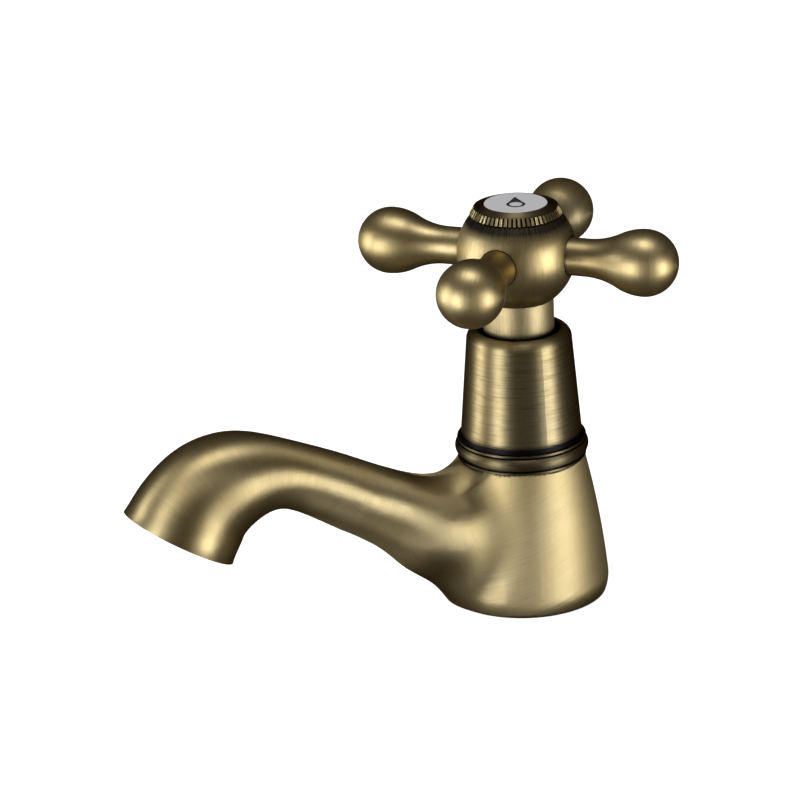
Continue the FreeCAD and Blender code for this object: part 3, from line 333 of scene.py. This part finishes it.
def aged_brass(name, kind, stroke=1.0, dark=0.0, rough=0.36, bands=(), hollow_patina_and_shade=0.85,
               knurled=False):
    """Brushed brass, darkened in hollows by ambient occlusion (partly patina, partly painted shade)
    and in bands: height, half width, strength.
    """
    m = Maker(name)
    place = m.place()
    height = m.split(place)[2]
    lines, tangent = brushing(m, kind, place)
    fine = strokes(m, lines, *FINE_LINES)
    hair = strokes(m, lines, *HAIR_LINES)
    long = strokes(m, lines, *LONG_LINES)
    cloud = m.noise(place, 42, 3.0, 0.5)
    # painted shade: ambient occlusion darkens hollows where shade falls, partly standing for patina
    patina_and_shade = m.span(m.occlusion(PATINA_AND_SHADE_REACH), 0.35, 0.92, hollow_patina_and_shade, 0.0)
    for level, half_width, strength in bands:
        gap = m.math("ABSOLUTE", m.math("SUBTRACT", height, level))
        patina_and_shade = m.math("MAXIMUM", patina_and_shade, m.span(gap, half_width * 0.3, half_width, strength, 0.0))
    patina_and_shade = m.math("ADD", patina_and_shade, m.span(cloud, 0.35, 0.75, dark - 0.05, dark + 0.10))
    patina_and_shade = m.math("ADD", patina_and_shade, m.span(long, 0.35, 0.75, -0.02, 0.05 * stroke))
    patina_and_shade = m.math("ADD", patina_and_shade, m.span(hair, 0.50, 0.76, 0.0, 0.34 * stroke), clamp=True)
    if knurled:
        tips, band = knurl_tips(m, place)
        gaps = m.math("MULTIPLY", m.math("SUBTRACT", 1.0, tips), 0.95)
        patina_and_shade = m.math("ADD", m.math("MULTIPLY", patina_and_shade, m.math("SUBTRACT", 1.0, band)),
                        m.math("MULTIPLY", gaps, band))
    metal = m.mix(m.span(cloud, 0.3, 0.7), WARM_BRASS, PALE_BRASS)
    metal = m.mix(m.span(fine, 0.35, 0.7, 0.0, 0.35), metal, SCRATCH)
    m.put(m.shader.inputs["Base Color"], m.mix(patina_and_shade, metal, PATINA_AND_SHADE))
    m.shader.inputs["Metallic"].default_value = 1.0
    m.shader.inputs["Specular Tint"].default_value = EDGE_TINT
    bare = m.span(long, 0.3, 0.7, rough - 0.02, rough + 0.03)
    m.put(m.shader.inputs["Roughness"], m.math("ADD", bare, m.math("MULTIPLY", patina_and_shade, 0.14)))
    m.shader.inputs["Anisotropic"].default_value = ANISOTROPY[kind]
    m.put(m.shader.inputs["Tangent"], tangent)
    grooves = m.bump(fine, 0.20 * stroke, 0.0001)
    m.put(m.shader.inputs["Normal"], m.bump(hair, 0.22 * stroke, 0.0002, grooves))
    return m.material


def plain(name, colour, metallic, roughness, bump=0.05):
    """Machined or moulded surfaces that the photo doesn't show."""
    m = Maker(name)
    place = m.place()
    lines = brushing(m, "turned", place)[0]
    grain = strokes(m, lines, *GRAIN_LINES)
    cloud = m.noise(place, 60, 2.0, 0.5)
    deep = tuple(0.75 * part for part in colour)
    m.put(m.shader.inputs["Base Color"], m.mix(m.span(cloud, 0.3, 0.7), (*deep, 1), (*colour, 1)))
    m.shader.inputs["Metallic"].default_value = metallic
    m.put(m.shader.inputs["Roughness"], m.span(grain, 0.3, 0.7, roughness - 0.06, roughness + 0.06))
    m.put(m.shader.inputs["Normal"], m.bump(grain, bump, 0.0001))
    return m.material


# the mark on the disc: a drop with a hole, its tip at DROP_TIP from the disc's middle
DROP_TIP, DROP_DOWN, DROP_FLARE = 0.0049, 0.0014, 0.42
DROP_RADIUS, DROP_HOLE, DROP_EDGE = 0.00250, 0.00165, 0.0001
GLAZE, INK = (0.88, 0.89, 0.93, 1), (0.035, 0.035, 0.045, 1)


def marked_glaze():
    """White glaze with a small drop-shaped mark, its tip away from the camera at rest."""
    m = Maker("marked_glaze")
    x, y = m.split(m.place())[:2]
    cos, sin = math.cos(AZIMUTH), math.sin(AZIMUTH)
    across = m.math("ADD", m.math("MULTIPLY", x, cos), m.math("MULTIPLY", y, sin))
    away = m.math("SUBTRACT", m.math("MULTIPLY", y, cos), m.math("MULTIPLY", x, sin))
    low = m.math("ADD", away, DROP_DOWN)
    out = m.math("SQRT", m.math("ADD", m.math("MULTIPLY", across, across),
                                m.math("MULTIPLY", low, low)))
    flank = m.math("ADD", m.math("ABSOLUTE", across),
                   m.math("MULTIPLY", m.math("SUBTRACT", away, DROP_TIP), DROP_FLARE))
    tip_half = m.span(away, 0.0, DROP_EDGE)
    tip = m.math("MULTIPLY", m.span(flank, -DROP_EDGE / 2, DROP_EDGE / 2, 1.0, 0.0), tip_half)
    drop = m.math("MAXIMUM", m.span(out, DROP_RADIUS, DROP_RADIUS + DROP_EDGE, 1.0, 0.0), tip)
    mark = m.math("MULTIPLY", drop, m.span(out, DROP_HOLE, DROP_HOLE + DROP_EDGE))
    m.put(m.shader.inputs["Base Color"], m.mix(mark, GLAZE, INK))
    m.shader.inputs["Roughness"].default_value = 0.10
    return m.material


FINISHES = {
    "shroud": aged_brass("brass_shroud", "turned", dark=0.27, rough=0.40,
                         bands=((0.0450, 0.0027, 0.88),)),
    "collar_ring": aged_brass("brass_collar", "turned", dark=0.58, rough=0.40),
    "tap_body": aged_brass("brass_casting", "casting", stroke=0.8, dark=-0.12, rough=0.47),
    "aerator_shell": aged_brass("brass_outlet", "turned"),
    # stronger hollow darkening in the hub's sockets: painted shade, partly patina
    "handle_hub": aged_brass("brass_hub", "upright", rough=0.40, hollow_patina_and_shade=1.2,
                             bands=((0.1070, 0.0032, 0.88),)),
    "index_cap": aged_brass("brass_cap", "turned", dark=0.50, rough=0.34, knurled=True),
    "index_disc": marked_glaze(),
    # stronger hollow darkening at the arms' roots: painted shade, partly patina
    "handle_arm": aged_brass("brass_arm", "arms", stroke=0.8, dark=-0.16, rough=0.44, hollow_patina_and_shade=1.3),
    "turned_brass": plain("turned_brass", (0.62, 0.48, 0.24), 1.0, 0.28),
    "steel": plain("stainless_steel", (0.60, 0.60, 0.61), 1.0, 0.30),
    "rubber": plain("black_rubber", (0.030, 0.030, 0.032), 0.0, 0.65),
    "alumina": plain("alumina", (0.86, 0.85, 0.80), 0.0, 0.18),
    "acetal": plain("acetal", (0.80, 0.78, 0.70), 0.0, 0.40),
    "glazed_ceramic": plain("glazed_ceramic", (0.80, 0.80, 0.86), 0.0, 0.08, 0.01),
}

for entry in frame["record"]["subparts"]:
    node, slot = entry["node"], entry["material_slot"]
    finish = FINISHES.get(node) or FINISHES.get(slot)
    if node.startswith("handle_arm"):
        finish = FINISHES["handle_arm"]
    for spot in NODES[node].material_slots:
        spot.material = finish

# ------------------------------------------------------------------ the casting, eased

# reaches between which the easing starts, is full, fades and ends
ROOT_FROM, ROOT_FULL, ROOT_FADE, ROOT_TO = 0.004, 0.014, 0.040, 0.058
# heights: no easing at the collar's seat and at the foot, full easing beyond the fades
COLLAR_SEAT, COLLAR_FADE = 0.0322, 0.0035
FOOT_STILL, FOOT_FREE = 0.0008, 0.0055
# beyond this reach the skin belongs to the spout
SPOUT_START = 0.024
# the roll of the foot's edge: its height and its depth, and where the edge is by radius
FOOT_ROLL, FOOT_INSET = 0.0050, 0.0011
FOOT_SKIN, FOOT_RIM, RIM_HEIGHT = 0.0205, 0.0222, 0.004
# the part of the mesh that is refined, outside the bores
BORE_CLEAR, REFINE_BEYOND, REFINE_ABOVE = 0.0145, 0.004, 0.016
COARSE_EDGE, FINE_EDGE, WELD = 0.0027, 0.0012, 2e-6
COARSE_ROUNDS, FINE_ROUNDS = 2600, 300
# every second round pushes back what the round before drew in
PULL, PUSH = 0.5, -0.501
DECK_TOLERANCE = 1e-6
SHARP_ANGLE = math.radians(32)


def step(value, low, high):
    """0 up to low, 1 from high, and a smooth rise between them."""
    share = np.clip((value - low) / (high - low), 0, 1)
    return share * share * (3 - 2 * share)


def outside(places, normals):
    """Whether each place is on the outer skin: its normal points away from the axis or path."""
    reach = -places[:, 1]
    level = np.maximum(RISE_END[1] + (reach - RISE_END[0]) * math.tan(RISE), 0.0)
    middle = np.zeros_like(places)
    on_spout = reach > SPOUT_START
    middle[:, 1] = np.where(on_spout, places[:, 1], 0.0)
    middle[:, 2] = np.where(on_spout, level, places[:, 2])
    return ((places - middle) * normals).sum(axis=1) > 0


def refine(work, longest):
    """Splits the edges that are too long, outside the bores and out to the spout's middle."""
    def too_long(edge):
        middle = (edge.verts[0].co + edge.verts[1].co) / 2
        near = (-middle.y < ROOT_TO + REFINE_BEYOND
                and -DECK_TOLERANCE < middle.z < COLLAR_SEAT + REFINE_ABOVE
                and math.hypot(middle.x, middle.y) > BORE_CLEAR)
        return near and edge.calc_length() > longest

    for _ in range(6):
        found = [edge for edge in work.edges if too_long(edge)]
        if not found:
            break
        bmesh.ops.subdivide_edges(work, edges=found, cuts=1)
        bmesh.ops.triangulate(work, faces=[face for face in work.faces if len(face.verts) > 3])


def ease(work, rounds):
    """Evens out the waves where the spout leaves the base, without drawing the casting in."""
    work.normal_update()
    work.verts.index_update()
    places = np.array([vertex.co for vertex in work.verts])
    skin = outside(places, np.array([vertex.normal for vertex in work.verts]))
    reach, height = -places[:, 1], places[:, 2]
    share = step(reach, ROOT_FROM, ROOT_FULL) * (1 - step(reach, ROOT_FADE, ROOT_TO))
    top = np.where(reach < SPOUT_START, COLLAR_SEAT, 1.0)
    share *= (1 - step(height, top - COLLAR_FADE, top)) * step(height, FOOT_STILL, FOOT_FREE)
    share = np.where(skin, share, 0.0)
    ends = np.array([(edge.verts[0].index, edge.verts[1].index) for edge in work.edges])
    ends = ends[(share[ends] > 0).any(axis=1)]
    used, ends = np.unique(ends, return_inverse=True)
    ends = ends.reshape(-1, 2)
    moved, share = places[used], share[used]
    near, far = ends.ravel(), ends[:, ::-1].ravel()
    count = np.maximum(np.bincount(near, minlength=len(moved)), 1)[:, None]
    on_deck = np.abs(moved[:, 2]) < DECK_TOLERANCE
    for turn in range(rounds):
        total = np.stack([np.bincount(near, moved[far, axis], len(moved)) for axis in range(3)],
                         axis=1)
        pull = PULL if turn % 2 == 0 else PUSH
        moved += pull * share[:, None] * (total / count - moved)
        moved[on_deck, 2] = 0.0
    places[used] = moved
    for vertex, place in zip(work.verts, places):
        vertex.co = place


def roll_foot(work):
    """Rolls the foot's edge inwards, by FOOT_INSET at the deck and not at all at FOOT_ROLL."""
    work.normal_update()
    places = np.array([vertex.co for vertex in work.verts])
    skin = outside(places, np.array([vertex.normal for vertex in work.verts]))
    around = np.hypot(places[:, 0], places[:, 1])
    inset = np.clip(1 - places[:, 2] / FOOT_ROLL, 0, 1) ** 2 * FOOT_INSET
    on_rim = (around > FOOT_RIM) & (places[:, 2] < RIM_HEIGHT)
    on_foot = (skin & (around > FOOT_SKIN)) | on_rim
    inset = np.where(on_foot & (places[:, 2] > -DECK_TOLERANCE), inset, 0.0)
    places[:, :2] *= (1 - inset / np.maximum(around, 1e-6))[:, None]
    for vertex, place in zip(work.verts, places):
        vertex.co = place


def eased_casting():
    """The casting with the spout's root eased into the base, and the foot's edge rolled inwards."""
    work = bmesh.new()
    work.from_mesh(NODES["tap_body"].data)
    bmesh.ops.remove_doubles(work, verts=work.verts, dist=WELD)
    bmesh.ops.triangulate(work, faces=work.faces)
    refine(work, COARSE_EDGE)
    ease(work, COARSE_ROUNDS)
    refine(work, FINE_EDGE)
    ease(work, FINE_ROUNDS)
    roll_foot(work)
    mesh = bpy.data.meshes.new("casting")
    work.to_mesh(mesh)
    work.free()
    mesh.polygons.foreach_set("use_smooth", [True] * len(mesh.polygons))
    mesh.set_sharp_from_angle(angle=SHARP_ANGLE)
    mesh.materials.clear()
    mesh.materials.append(FINISHES["tap_body"])
    piece = bpy.data.objects.new("casting", mesh)
    scene.collection.objects.link(piece)
    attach(piece, "tap")
    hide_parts("tap_body")


eased_casting()

# ------------------------------------------------------------------ floor

floor_mesh = bpy.data.meshes.new("floor")
floor_mesh.from_pydata([(x * FLOOR_REACH, y * FLOOR_REACH, FLOOR_DROP)
                        for x, y in ((-1, -1), (1, -1), (1, 1), (-1, 1))], [], [(0, 1, 2, 3)])
floor = bpy.data.objects.new("floor", floor_mesh)
scene.collection.objects.link(floor)
paper = Maker("white_paper")
paper.put(paper.shader.inputs["Base Color"], FLOOR_COLOUR)
paper.put(paper.shader.inputs["Roughness"], 0.9)
paper.put(paper.shader.inputs["Emission Color"], (1, 1, 1, 1))
paper.put(paper.shader.inputs["Emission Strength"], FLOOR_GLOW)
floor_mesh.materials.append(paper.material)
floor.visible_glossy = False
floor.visible_diffuse = False
floor.visible_shadow = False
